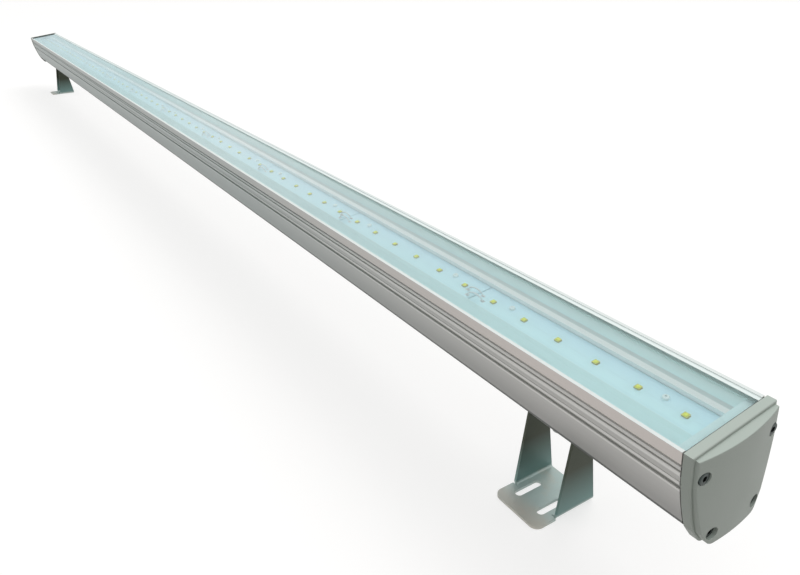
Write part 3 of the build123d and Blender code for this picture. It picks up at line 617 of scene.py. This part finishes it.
def led_finish(colours):
    """LED package: pale ceramic below, with painted shade at its foot, and above it a clear lens over
    yellow phosphor.
    """
    material, tree, shader = finish("led_package", Roughness=0.18, Coat_Weight=0.5, Coat_Roughness=0.05)
    place = section_place(tree)
    along = parts_of(place)
    from_board = calc("SUBTRACT", along["Z"], BOARD_TOP)
    from_led = board_places(from_middle(along))[1]
    squares = [calc("POWER", value, 2.0) for value in (from_led, along["Y"])]
    reach = calc("SQRT", calc("ADD", *squares))
    high = remap(from_board, 0.62 * MM, 0.72 * MM)
    lens = times(high, remap(reach, 1.45 * MM, 1.6 * MM, 1.0, 0.0))
    speckle = noise(place, (3000.0, 3000.0, 3000.0), 3.0)
    yellow = blend_colours(speckle, tone(colours.phosphor, 0.85), tone(colours.phosphor, 1.15))
    # Painted shade: the ceramic darkens towards the board.
    up_base = remap(from_board, 0.1 * MM, 0.75 * MM)
    ceramic = blend_colours(up_base, (0.26, 0.24, 0.04, 1.0), (0.72, 0.68, 0.20, 1.0))
    feed(shader.inputs, Base_Color=blend_colours(lens, ceramic, yellow))
    return material


def glass_finish(colours):
    """Cover glass. Shadow rays pass it, so that what lies under it is lit as through real glass."""
    material, tree, shader = finish("cover_glass", Roughness=0.0, Transmission_Weight=1.0, IOR=1.5)
    cloud = noise(section_place(tree), (6.0, 30.0, 30.0), 4.0, 0.6)
    tint = blend_colours(cloud, tone(colours.glass, 0.98), tone(colours.glass, 1.0))
    feed(shader.inputs, Base_Color=tint)
    clear = node(tree, "ShaderNodeBsdfTransparent", {"Color": tone(colours.glass, 0.97)})
    shadow = node(tree, "ShaderNodeLightPath").outputs["Is Shadow Ray"]
    both = node(tree, "ShaderNodeMixShader", {0: shadow, 1: shader.outputs[0], 2: clear.outputs[0]})
    feed(tree.nodes["Material Output"].inputs, Surface=both.outputs[0])
    return material


def seal_finish():
    """Clear silicone bead: a little darker in its bed than beside and on the glass."""
    material, tree, shader = finish("clear_silicone", Specular_IOR_Level=0.2)
    place = section_place(tree)
    wave = noise(place, (12.0, 90.0, 90.0), 3.0)
    base = blend_colours(wave, (0.72, 0.88, 0.86, 1.0), (0.80, 0.97, 0.95, 1.0))
    beside = above(parts_of(place)["Z"], -4.0 * MM)
    base = over(base, beside, 1.0, (0.86, 0.93, 0.91, 1.0))
    rough = remap(wave, 0.3, 0.7, 0.55, 0.7)
    feed(shader.inputs, Base_Color=base, Roughness=rough)
    return material


# ---------------------------------------------------------------- modelling
def clear_selection():
    """Leave edit mode and select nothing."""
    if bpy.context.mode != "OBJECT":
        bpy.ops.object.mode_set(mode="OBJECT")
    bpy.ops.object.select_all(action="DESELECT")


def take(piece):
    """Make a piece the one that is selected."""
    clear_selection()
    piece.select_set(True)
    bpy.context.view_layer.objects.active = piece


def apply_place(piece, place=None):
    """Move a piece by a matrix, if one is given, and put its place into its mesh."""
    take(piece)
    if place is not None:
        piece.matrix_world = place @ piece.matrix_world
    bpy.ops.object.transform_apply(location=True, rotation=True, scale=True)


def begin(shape, name, **settings):
    """Add a primitive, name it and put its place into its mesh."""
    clear_selection()
    getattr(bpy.ops.mesh, f"primitive_{shape}_add")(**settings)
    piece = bpy.context.object
    piece.name = piece.data.name = name
    apply_place(piece)
    return piece


def block(name, middle, spans, **settings):
    """A box with this middle and these spans."""
    return begin("cube", name, size=1.0, location=middle, scale=spans, **settings)


def rod(name, radius, low, high, sides):
    """An upright cylinder or prism between two levels."""
    middle = (0, 0, (low + high) / 2)
    return begin("cylinder", name, vertices=sides, radius=radius, depth=high - low, location=middle)


def ball(name, radii, segments, rings):
    """An ellipsoid around the origin."""
    return begin("uv_sphere", name, segments=segments, ring_count=rings, radius=1.0, scale=radii)


def split(piece, where, way, **settings):
    """Cut a piece's mesh along a plane."""
    take(piece)
    bpy.ops.object.mode_set(mode="EDIT")
    bpy.ops.mesh.select_all(action="SELECT")
    bpy.ops.mesh.bisect(plane_co=where, plane_no=way, **settings)
    clear_selection()


def half_ball(name, radii, segments, rings):
    """The upper half of an ellipsoid, standing on the origin."""
    piece = ball(name, radii, segments, rings)
    split(piece, (0, 0, 0), (0, 0, 1), clear_inner=True, use_fill=True)
    return piece


def pick(piece, kind, test):
    """Select a piece's faces or edges whose middle and direction pass a test, and stay in edit mode."""
    take(piece)
    bpy.ops.object.mode_set(mode="EDIT")
    bpy.ops.mesh.select_mode(type=kind)
    bpy.ops.mesh.select_all(action="DESELECT")
    bpy.ops.object.mode_set(mode="OBJECT")
    mesh = piece.data
    if kind == "FACE":
        for face in mesh.polygons:
            face.select = test(face.center, face.normal)
    else:
        for edge in mesh.edges:
            first, last = (mesh.vertices[index].co for index in edge.vertices)
            edge.select = test((first + last) / 2, (last - first).normalized())
    bpy.ops.object.mode_set(mode="EDIT")


def bevel_edges(piece, test, width, segments):
    """Bevel the edges of a piece that pass a test."""
    pick(piece, "EDGE", test)
    bpy.ops.mesh.bevel(offset=width, segments=segments, affect="EDGES")
    clear_selection()


def upright(middle, way):
    """Test for edges that stand along z."""
    return abs(way.z) > UPRIGHT


def higher_than(level):
    """Make a test for what lies higher than a level."""
    return lambda middle, way: middle.z > level


def joined(pieces, name):
    """Join pieces into one."""
    clear_selection()
    for piece in pieces:
        piece.select_set(True)
    bpy.context.view_layer.objects.active = pieces[0]
    bpy.ops.object.join()
    pieces[0].name = pieces[0].data.name = name
    return pieces[0]


def copied_to(piece, places, name):
    """Copy a piece to every place, each copy with its own mesh, and join the copies."""
    copies = []
    for place in places:
        take(piece)
        bpy.ops.object.duplicate(linked=False)
        copy = bpy.context.object
        apply_place(copy, place)
        copies.append(copy)
    take(piece)
    bpy.ops.object.delete()
    return joined(copies, name)


def boolean(piece, tool, operation):
    """Cut a piece with a tool, which is used up."""
    take(piece)
    modifier = piece.modifiers.new("cut", "BOOLEAN")
    modifier.operation = operation
    modifier.solver = "EXACT"
    modifier.object = tool
    bpy.ops.object.modifier_apply(modifier=modifier.name)
    take(tool)
    bpy.ops.object.delete()
    take(piece)


def smooth(piece, degrees):
    """Shade a piece smooth except at its sharp edges."""
    take(piece)
    bpy.ops.object.shade_smooth_by_angle(angle=radians(degrees))


def wear(piece, material):
    """Give a piece one material."""
    piece.data.materials.clear()
    piece.data.materials.append(material)


def hand_over(piece, body, slot, material, *replaced, sharp=35.0):
    """Smooth a finished piece, give it its material and body, and hide the nodes that it stands for."""
    smooth(piece, sharp)
    wear(piece, material)
    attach(piece, body)
    if replaced:
        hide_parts(*replaced)


def paint(material, *names):
    """Give carried-over nodes a material."""
    for name in names:
        wear(nodes[name], material)


def along_section(x, y, z, turn=None):
    """The matrix that carries a piece from the origin to a place on the lamp."""
    place = SECTION @ Matrix.Translation((x, y, z))
    return place @ turn if turn else place


def across_flats(width):
    """The corner radius of a hexagon with this width across its flats."""
    return width / 2 / cos(pi / 6)


# ---------------------------------------------------------------- steps
class WW_OT_body(bpy.types.Operator):
    """Finish the extruded body"""

    bl_idname = "wall_washer.body"
    bl_label = "Body"
    bl_options = {"REGISTER", "UNDO"}

    def execute(self, context):
        paint(body_finish(context.scene.wall_washer_colours), "housing")
        return {"FINISHED"}


class WW_OT_glass(bpy.types.Operator):
    """Finish the cover glass and the trough's end plugs, and model the silicone around the glass"""

    bl_idname = "wall_washer.glass"
    bl_label = "Glass and seals"
    bl_options = {"REGISTER", "UNDO"}
    clear_of_glass = 0.03 * MM
    outer = RIM_INNER - clear_of_glass / 2
    bed_thickness = 0.5 * MM
    top = -1.0 * MM
    lap_edge = 25.8 * MM
    lap_top = -0.62 * MM
    rounding = 0.3

    def lap(self, length):
        """The thin lap of the rear bead over the glass."""
        bottom = self.top + self.clear_of_glass
        middle = (0, (self.outer + self.lap_edge) / 2, (bottom + self.lap_top) / 2)
        return block("lap", middle, (length, self.outer - self.lap_edge, self.lap_top - bottom))

    def bead(self, side, length, top):
        """One bead: a flat bed under the glass, with a strip drawn up from it beside the glass."""
        strip = self.outer - GLASS_EDGE - self.clear_of_glass
        strip_inner = self.outer - strip
        bed_top = SEAT_LEVEL + self.bed_thickness - self.clear_of_glass
        middle = (0, side * (self.outer + SEAT_INNER) / 2, (SEAT_LEVEL + bed_top) / 2)
        bead = block("bead", middle, (length, self.outer - SEAT_INNER, bed_top - SEAT_LEVEL))
        split(bead, (0, side * strip_inner, 0), (0, 1, 0))
        pick(bead, "FACE", lambda spot, normal: normal.z > UPRIGHT and abs(spot.y) > strip_inner)
        bpy.ops.mesh.extrude_region_move(TRANSFORM_OT_translate={"value": (0, 0, top - bed_top)})
        bpy.ops.mesh.bevel(offset=strip * self.rounding, segments=3, affect="EDGES")
        clear_selection()
        return bead

    def execute(self, context):
        paint(glass_finish(context.scene.wall_washer_colours), "glass_cover")
        silicone = seal_finish()
        for seal, side in (("front_glass_seal", -1), ("rear_glass_seal", 1)):
            low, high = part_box(seal)
            length = high.x - low.x
            top = self.top if side < 0 else self.lap_top - self.clear_of_glass
            bead = self.bead(side, length, top)
            if side > 0:
                bead = joined([bead, self.lap(length)], "bead")
            apply_place(bead, along_section((low.x + high.x) / 2, 0, 0))
            hand_over(bead, "lamp", "clear_silicone", silicone, seal)
        white = soft_finish("white_silicone", (0.70, 0.86, 0.87), (0.77, 0.93, 0.94), 0.5)
        paint(white, "right_end_plug")
        # Painted shade: the far end plug is a darker copy of the silicone of the right one.
        far_shade = soft_finish("far_shade_silicone", (0.16, 0.25, 0.27), (0.22, 0.33, 0.35), 0.5)
        paint(far_shade, "left_end_plug")
        return {"FINISHED"}


class WW_OT_end_caps(bpy.types.Operator):
    """Finish the end caps, and the gaskets, pad and seal of grey rubber"""

    bl_idname = "wall_washer.end_caps"
    bl_label = "End caps and rubber"
    bl_options = {"REGISTER", "UNDO"}

    def execute(self, context):
        colours = context.scene.wall_washer_colours
        paint(cap_finish(colours, "powder_coated_casting", 1.0), "right_end_cap")
        # Painted shade: the far end cap is a darker copy of the same powder coat.
        paint(cap_finish(colours, "shaded_far_casting", 0.6), "left_end_cap")
        rubber = soft_finish("grey_rubber", (0.05, 0.052, 0.05), (0.08, 0.082, 0.08), 0.62)
        paint(rubber, "right_gasket", "left_gasket", "driver_pad", "gland_seal")
        return {"FINISHED"}


class WW_OT_cap_screws(bpy.types.Operator):
    """Model the socket head screws of the end caps"""

    bl_idname = "wall_washer.cap_screws"
    bl_label = "End cap screws"
    bl_options = {"REGISTER", "UNDO"}
    head_height = 4.0 * MM
    chamfer = 0.35 * MM
    socket_width = 3.0 * MM
    socket_depth = 2.4 * MM
    shank_radius = 1.85 * MM
    shank_length = 19.4 * MM

    def screw(self, radius):
        """One screw: its head stands on the origin along z and its shank goes down."""
        head = rod("cap_screw", radius, 0.0, self.head_height, 40)
        bevel_edges(head, higher_than(self.head_height * NEARLY), self.chamfer, 3)
        socket_floor = self.head_height - self.socket_depth
        socket_top = self.head_height + self.socket_depth
        socket = rod("socket", across_flats(self.socket_width), socket_floor, socket_top, 6)
        boolean(head, socket, "DIFFERENCE")
        shank = rod("shank", self.shank_radius, -self.shank_length, 0.0, 24)
        tip = -NEARLY * self.shank_length
        bevel_edges(shank, lambda middle, way: middle.z < tip, self.chamfer, 2)
        return joined([head, shank], "cap_screw")

    def execute(self, context):
        radius = context.scene.wall_washer_sizes.cap_screw_radius
        # Painted shade: the cap screws are nearly black, for the shade in their deep counterbores.
        dark, light = (0.035, 0.045, 0.042), (0.075, 0.09, 0.085)
        steel = fastener_finish("dark_steel", dark, light, 0.34, 0.50)
        for side_name, side in (("right", 1), ("left", -1)):
            node_name = f"{side_name}_cap_screws"
            low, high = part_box(node_name)
            seat = high.x - self.head_height if side > 0 else low.x + self.head_height
            turn = Matrix.Rotation(side * pi / 2, 4, "Y")
            places = [
                along_section(seat, half * across, height, turn)
                for across, height in CAP_SCREW_PLACES
                for half in (1, -1)
            ]
            piece = copied_to(self.screw(radius), places, f"{side_name}_socket_screws")
            hand_over(piece, "lamp", "steel_screws", steel, node_name)
        return {"FINISHED"}


class WW_OT_boards(bpy.types.Operator):
    """Finish the LED boards"""

    bl_idname = "wall_washer.boards"
    bl_label = "LED boards"
    bl_options = {"REGISTER", "UNDO"}

    def execute(self, context):
        paint(board_finish(context.scene.wall_washer_colours), *BOARD_NAMES)
        return {"FINISHED"}


class WW_OT_leds(bpy.types.Operator):
    """Model the LED packages"""

    bl_idname = "wall_washer.leds"
    bl_label = "LEDs"
    bl_options = {"REGISTER", "UNDO"}
    corner = 0.3 * MM
    rim_width = 0.3 * MM
    cup_depth = 0.12 * MM
    foot_width = 2.6 * MM
    foot_reach = 0.35 * MM
    foot_height = 0.3 * MM
    foot_rounding = 0.6

    def package(self, sizes):
        """One LED standing on the origin."""
        width, height = sizes.led_width, sizes.led_base
        base = block("led", (0, 0, height / 2), (width, width, height))
        bevel_edges(base, upright, self.corner, 2)
        pick(base, "FACE", lambda middle, normal: normal.z > UPRIGHT)
        bpy.ops.mesh.inset(thickness=self.rim_width)
        bpy.ops.transform.translate(value=(0, 0, -self.cup_depth))
        clear_selection()
        radii = (sizes.lens_radius, sizes.lens_radius, sizes.lens_height + self.cup_depth)
        lens = half_ball("lens", radii, 20, 12)
        apply_place(lens, Matrix.Translation((0, 0, height - self.cup_depth)))
        feet = []
        spans = (2 * self.foot_reach, self.foot_width, self.foot_height)
        for side in (1, -1):
            foot = block("foot", (side * width / 2, 0, self.foot_height / 2), spans)
            rounding = self.foot_rounding * self.foot_height
            bevel_edges(foot, higher_than(0.9 * self.foot_height), rounding, 2)
            feet.append(foot)
        return joined([base, lens, *feet], "led")

    def execute(self, context):
        sizes = context.scene.wall_washer_sizes
        material = led_finish(context.scene.wall_washer_colours)
        first_led = -board_length / 2 + led_pitch / 2
        steps = [first_led + index * led_pitch for index in range(LED_COUNT)]
        for number, middle in enumerate(board_middles, start=1):
            places = [along_section(middle + step, 0, BOARD_TOP) for step in steps]
            piece = copied_to(self.package(sizes), places, f"led_packages_{number:02d}")
            hand_over(piece, "lamp", "led_phosphor", material, f"led_row_{number:02d}")
        return {"FINISHED"}


class WW_OT_board_screws(bpy.types.Operator):
    """Model the pan head screws of the boards"""

    bl_idname = "wall_washer.board_screws"
    bl_label = "Board screws"
    bl_options = {"REGISTER", "UNDO"}
    head_height = 1.6 * MM
    crown = 0.8 * MM
    slot = (2.1 * MM, 0.45 * MM)
    slot_depth = 0.8 * MM
    shank_radius = 1.0 * MM
    shank_length = 5.6 * MM
    turn_step = 0.7

    def screw(self, radius):
        """One screw: its head stands on the origin and its shank goes down."""
        head = rod("board_screw", radius, 0.0, self.head_height, 32)
        bevel_edges(head, higher_than(self.head_height * NEARLY), self.crown, 4)
        for turn in (0.0, pi / 2):
            middle, spans = (0, 0, self.head_height), (*self.slot, 2 * self.slot_depth)
            boolean(head, block("slot", middle, spans, rotation=(0, 0, turn)), "DIFFERENCE")
        shank = rod("shank", self.shank_radius, -self.shank_length, 0.0, 16)
        return joined([head, shank], "board_screw")

    def execute(self, context):
        dark, light = (0.80, 0.86, 0.86), (0.92, 0.97, 0.97)
        steel = fastener_finish("bright_zinc", dark, light, 0.25, 0.38, 0.35)
        step = board_length / 2 - led_pitch
        places = []
        for index, middle in enumerate(board_middles):
            turn = Matrix.Rotation(self.turn_step * index, 4, "Z")
            for side in (1, -1):
                spot = middle + side * step
                places.append(along_section(spot, BOARD_SCREW_ACROSS, BOARD_TOP, turn))
        radius = context.scene.wall_washer_sizes.board_screw_radius
        piece = copied_to(self.screw(radius), places, "pan_head_screws")
        hand_over(piece, "lamp", "steel_screws", steel, "board_screws")
        return {"FINISHED"}


class WW_OT_jumpers(bpy.types.Operator):
    """Model the jumper wires between the boards and their soldered ends"""

    bl_idname = "wall_washer.jumpers"
    bl_label = "Jumper wires"
    bl_options = {"REGISTER", "UNDO"}
    span = 14.0 * MM
    slant = 2.0 * MM
    rise = 3.2 * MM
    handle_shares = (0.28, 0.3, 4 / 3)
    offset = -3.0 * MM
    spacing = 4.5 * MM
    stagger = 5.0 * MM
    strip = 1.6 * MM
    core_share = 0.5
    pad = (3.4 * MM, 2.4 * MM, 0.05 * MM)
    pad_corner = 0.5 * MM
    solder = (1.2 * MM, 1.02 * MM, 0.8 * MM)

    def arch(self, radius, rest, name):
        """A wire along the arch, with its middle over the origin and its ends at rest on the boards."""
        clear_selection()
        bpy.ops.curve.primitive_bezier_curve_add(radius=1.0)
        wire = bpy.context.object
        wire.name = name
        curve = wire.data
        curve.dimensions = "3D"
        curve.bevel_depth = radius
        curve.bevel_resolution = 3
        curve.resolution_u = 16
        curve.use_fill_caps = True
        reach, drift, lift = self.handle_shares
        for side, point in zip((-1, 1), curve.splines[0].bezier_points):
            point.handle_left_type = point.handle_right_type = "FREE"
            point.co = (side * self.span / 2, side * self.slant / 2, rest)
            inward = Vector((-side * self.span * reach, -side * self.slant * drift, self.rise * lift))
            outer, inner = point.co - inward, point.co + inward
            point.handle_left = outer if side < 0 else inner
            point.handle_right = inner if side < 0 else outer
        bpy.ops.object.convert(target="MESH")
        return bpy.context.object

    def solder_joint(self, radius, rest):
        """The bare core of a wire, with a pad and a blob of solder at each end."""
        ends = [self.arch(radius, rest, "core")]
        for side in (1, -1):
            spot = (side * self.span / 2, side * self.slant / 2)
            pad = block("pad", (*spot, self.pad[2] / 2), self.pad)
            bevel_edges(pad, upright, self.pad_corner, 3)
            blob = half_ball("blob", self.solder, 16, 10)
            apply_place(blob, Matrix.Translation((*spot, 0)))
            ends += [pad, blob]
        return joined(ends, "solder_joint")

    def execute(self, context):
        radius = context.scene.wall_washer_sizes.wire_radius
        insulation = soft_finish("white_wire", (0.70, 0.75, 0.78), (0.82, 0.86, 0.88), 0.42)
        tin = soft_finish("solder", (0.56, 0.60, 0.61), (0.72, 0.75, 0.76), 0.3, Metallic=0.4)
        joints = [(first + last) / 2 for first, last in zip(board_middles, board_middles[1:])]
        places = [
            along_section(joint - half * self.stagger, self.offset + half * self.spacing, BOARD_TOP)
            for joint in joints
            for half in (-0.5, 0.5)
        ]
        wire = self.arch(radius, radius, "wire")
        pick(wire, "FACE", lambda middle, normal: abs(middle.x) > self.span / 2 - self.strip)
        bpy.ops.mesh.delete(type="FACE")
        clear_selection()
        wires = copied_to(wire, places, "jumper_wires")
        hand_over(wires, "lamp", "white_wire", insulation, "board_jumpers", sharp=60.0)
        joint = self.solder_joint(radius * self.core_share, radius)
        solder = copied_to(joint, places, "jumper_solder")
        hand_over(solder, "lamp", "steel_screws", tin, sharp=50.0)
        return {"FINISHED"}


class WW_OT_driver(bpy.types.Operator):
    """Finish the driver inside the body and its leads"""

    bl_idname = "wall_washer.driver"
    bl_label = "Driver"
    bl_options = {"REGISTER", "UNDO"}

    def execute(self, context):
        paint(machined_finish(), "driver_case", "driver_cover")
        green = soft_finish("green_laminate", (0.02, 0.10, 0.04), (0.04, 0.16, 0.07), 0.35)
        paint(green, "driver_board")
        black = soft_finish("black_plastic", (0.02, 0.02, 0.022), (0.05, 0.05, 0.055), 0.45)
        paint(black, "driver_components")
        red = soft_finish("red_wire", (0.40, 0.03, 0.02), (0.55, 0.06, 0.04), 0.42)
        paint(red, "output_leads")
        return {"FINISHED"}


class WW_OT_gland(bpy.types.Operator):
    """Model the cable gland's dome nut and finish the gland's nylon pieces"""

    bl_idname = "wall_washer.gland"
    bl_label = "Cable gland"
    bl_options = {"REGISTER", "UNDO"}
    mouth_radius = 4.3 * MM
    bore_radius = 7.3 * MM
    bore_depth = 8.1 * MM
    dome_width_share = 1.02
    dome_share = 1.12
    bore_sides = 64

    def execute(self, context):
        low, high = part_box("gland_dome_nut")
        length = high.x - low.x
        corner = across_flats(context.scene.wall_washer_sizes.gland_hex)
        nut = rod("dome_nut", corner, 0.0, length, 6)
        width = corner * self.dome_width_share
        boolean(nut, ball("dome", (width, width, length * self.dome_share), 96, 48), "INTERSECT")
        bore = rod("bore", self.bore_radius, -self.bore_depth, self.bore_depth, self.bore_sides)
        boolean(nut, bore, "DIFFERENCE")
        mouth = rod("mouth", self.mouth_radius, -2 * length, 2 * length, self.bore_sides)
        boolean(nut, mouth, "DIFFERENCE")
        middle = SECTION.inverted() @ ((low + high) / 2)
        turn = Matrix.Rotation(-pi / 2, 4, "Y")
        apply_place(nut, along_section(high.x, middle.y, middle.z, turn))
        black = soft_finish("gland_nylon", (0.016, 0.016, 0.018), (0.035, 0.035, 0.038), 0.38)
        hand_over(nut, "lamp", "gland_plastic", black, "gland_dome_nut")
        paint(black, "gland_body", "gland_locknut")
        return {"FINISHED"}


class WW_OT_brackets(bpy.types.Operator):
    """Finish the brackets, hinge lugs and clamp parts"""

    bl_idname = "wall_washer.brackets"
    bl_label = "Brackets"
    bl_options = {"REGISTER", "UNDO"}

    def execute(self, context):
        sheet = sheet_finish(context.scene.wall_washer_colours)
        paint(sheet, "right_bracket", "left_bracket")
        paint(machined_finish(), "right_hinge_lug", "left_hinge_lug")
        dark, light = (0.30, 0.31, 0.31), (0.48, 0.49, 0.48)
        steel = fastener_finish("plain_steel", dark, light, 0.25, 0.42)
        for side in ("right", "left"):
            paint(steel, f"{side}_slot_nut", f"{side}_clamp_screw", f"{side}_pivot_washers")
        return {"FINISHED"}


class WW_OT_pivot_screws(bpy.types.Operator):
    """Model the hexagon head screws of the hinges"""

    bl_idname = "wall_washer.pivot_screws"
    bl_label = "Pivot screws"
    bl_options = {"REGISTER", "UNDO"}
    head_height = 4.0 * MM
    shank_radius = 3.0 * MM
    shank_length = 14.0 * MM
    chamfer = 0.45 * MM

    def screw(self, width):
        """One screw: its head stands on the origin along z and its shank goes down."""
        head = rod("pivot_screw", across_flats(width), 0.0, self.head_height, 6)
        on_top = higher_than(self.head_height * NEARLY)
        bevel_edges(head, lambda middle, way: on_top(middle, way) or upright(middle, way), self.chamfer, 3)
        shank = rod("shank", self.shank_radius, -self.shank_length, 0.0, 32)
        return joined([head, shank], "pivot_screw")

    def execute(self, context):
        width = context.scene.wall_washer_sizes.pivot_hex
        dark, light = (0.34, 0.36, 0.36), (0.55, 0.57, 0.56)
        steel = fastener_finish("zinc_screw", dark, light, 0.24, 0.40)
        for side_name in ("right", "left"):
            node_name = f"{side_name}_pivot_screws"
            low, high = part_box(node_name)
            places = []
            for end, outside in ((1, high.x), (-1, low.x)):
                seat = Matrix.Translation((outside - end * self.head_height, pivot.y, pivot.z))
                places.append(seat @ Matrix.Rotation(end * pi / 2, 4, "Y"))
            piece = copied_to(self.screw(width), places, f"{side_name}_hinge_screws")
            hand_over(piece, f"{side_name}_foot", "steel_screws", steel, node_name)
        return {"FINISHED"}


class WW_OT_stage(bpy.types.Operator):
    """Set up the floor, the sky, the key light and the camera"""

    bl_idname = "wall_washer.stage"
    bl_label = "Stage"
    bl_options = {"REGISTER", "UNDO"}
    floor_size = 60.0
    floor_colour = (0.42, 0.41, 0.40, 1.0)
    floor_lift = 0.63
    sky_low = 0.30
    sky_high = 1.0
    sky_colour = (0.98, 0.995, 1.0, 1.0)
    haze_colour = (0.70, 0.82, 0.85, 1.0)
    key_place = (0.1, 1.7, 2.7)
    key_aim = (0.1, 0.0, 0.0)
    key_width = 1.8
    key_watts = 24.0
    camera_place = (1.15509, -0.27406, 0.33682)
    camera_turn = (63.837, 1.062, 57.118)
    lens = 31.841
    sensor = 36.0
    sees_from = 0.01
    sees_to = 100.0

    def floor(self):
        """A pale floor that also shows pale in the camera, in metal and in glass."""
        plane = begin("plane", "floor", size=self.floor_size)
        material, tree, shader = finish(
            "pale_floor", Base_Color=self.floor_colour, Roughness=0.9, Specular_IOR_Level=0.1,
            Emission_Color=WHITE)
        seen = camera_or_mirror(node(tree, "ShaderNodeLightPath").outputs)
        feed(shader.inputs, Emission_Strength=times(seen, self.floor_lift))
        wear(plane, material)

    def sky(self, scene):
        """A sky brighter overhead, white to the camera, and hazy where glass mirrors its far end."""
        scene.world = bpy.data.worlds.new("studio")
        scene.world.use_nodes = True
        tree = scene.world.node_tree
        way = parts_of(node(tree, "ShaderNodeTexCoord").outputs["Generated"])
        ray = node(tree, "ShaderNodeLightPath").outputs
        light = remap(way["Z"], 0.0, 0.85, self.sky_low, self.sky_high)
        feeds = {0: camera_or_mirror(ray), 2: light, 3: 1.0}
        strength = node(tree, "ShaderNodeMix", feeds, data_type="FLOAT").outputs[0]
        low = remap(way["Z"], 0.31, 0.20)
        past_end = remap(way["X"], -0.70, -0.85)
        haze = times(times(low, past_end), ray["Is Glossy Ray"])
        colour = blend_colours(haze, self.sky_colour, self.haze_colour)
        feed(tree.nodes["Background"].inputs, Color=colour, Strength=strength)

    def key(self, scene):
        """A soft lamp over the light's rear, unseen in metal and glass."""
        lamp = bpy.data.lights.new("key", "AREA")
        lamp.shape = "DISK"
        lamp.size = self.key_width
        lamp.energy = self.key_watts
        holder = bpy.data.objects.new("key", lamp)
        scene.collection.objects.link(holder)
        holder.visible_glossy = False
        holder.visible_transmission = False
        holder.location = self.key_place
        way = Vector(self.key_aim) - Vector(self.key_place)
        holder.rotation_euler = way.to_track_quat("-Z", "Y").to_euler()

    def camera(self, scene):
        """The camera at the photograph's place."""
        eye = bpy.data.objects.new("camera", bpy.data.cameras.new("camera"))
        scene.collection.objects.link(eye)
        eye.data.lens = self.lens
        eye.data.sensor_width = self.sensor
        eye.data.clip_start = self.sees_from
        eye.data.clip_end = self.sees_to
        eye.location = self.camera_place
        eye.rotation_euler = Euler([radians(angle) for angle in self.camera_turn])
        scene.camera = eye

    def execute(self, context):
        self.floor()
        self.sky(context.scene)
        self.key(context.scene)
        self.camera(context.scene)
        context.scene.view_settings.view_transform = "Standard"
        return {"FINISHED"}


STEPS = [
    WW_OT_body,
    WW_OT_glass,
    WW_OT_end_caps,
    WW_OT_cap_screws,
    WW_OT_boards,
    WW_OT_leds,
    WW_OT_board_screws,
    WW_OT_jumpers,
    WW_OT_driver,
    WW_OT_gland,
    WW_OT_brackets,
    WW_OT_pivot_screws,
    WW_OT_stage,
]


class WW_PT_panel(bpy.types.Panel):
    """Lists the steps and settings of the wall washer light"""

    bl_idname = "WW_PT_panel"
    bl_label = "Wall Washer"
    bl_space_type = "VIEW_3D"
    bl_region_type = "UI"
    bl_category = "Wall Washer"

    def draw(self, context):
        layout = self.layout
        for name, settings in SETTINGS.items():
            for label in settings.__annotations__:
                layout.prop(getattr(context.scene, name), label)
        for step in STEPS:
            layout.operator(step.bl_idname)


def register():
    """Register the settings, the steps and the panel."""
    for name, settings in SETTINGS.items():
        bpy.utils.register_class(settings)
        setattr(bpy.types.Scene, name, bpy.props.PointerProperty(type=settings))
    for made in (*STEPS, WW_PT_panel):
        bpy.utils.register_class(made)


def unregister():
    """Undo register."""
    for made in (WW_PT_panel, *reversed(STEPS)):
        bpy.utils.unregister_class(made)
    for name, settings in SETTINGS.items():
        delattr(bpy.types.Scene, name)
        bpy.utils.unregister_class(settings)


def main():
    """Run every step in order."""
    register()
    for step in STEPS:
        family, name = step.bl_idname.split(".")
        getattr(getattr(bpy.ops, family), name)()
    clear_selection()


if __name__ == "__main__":
    main()
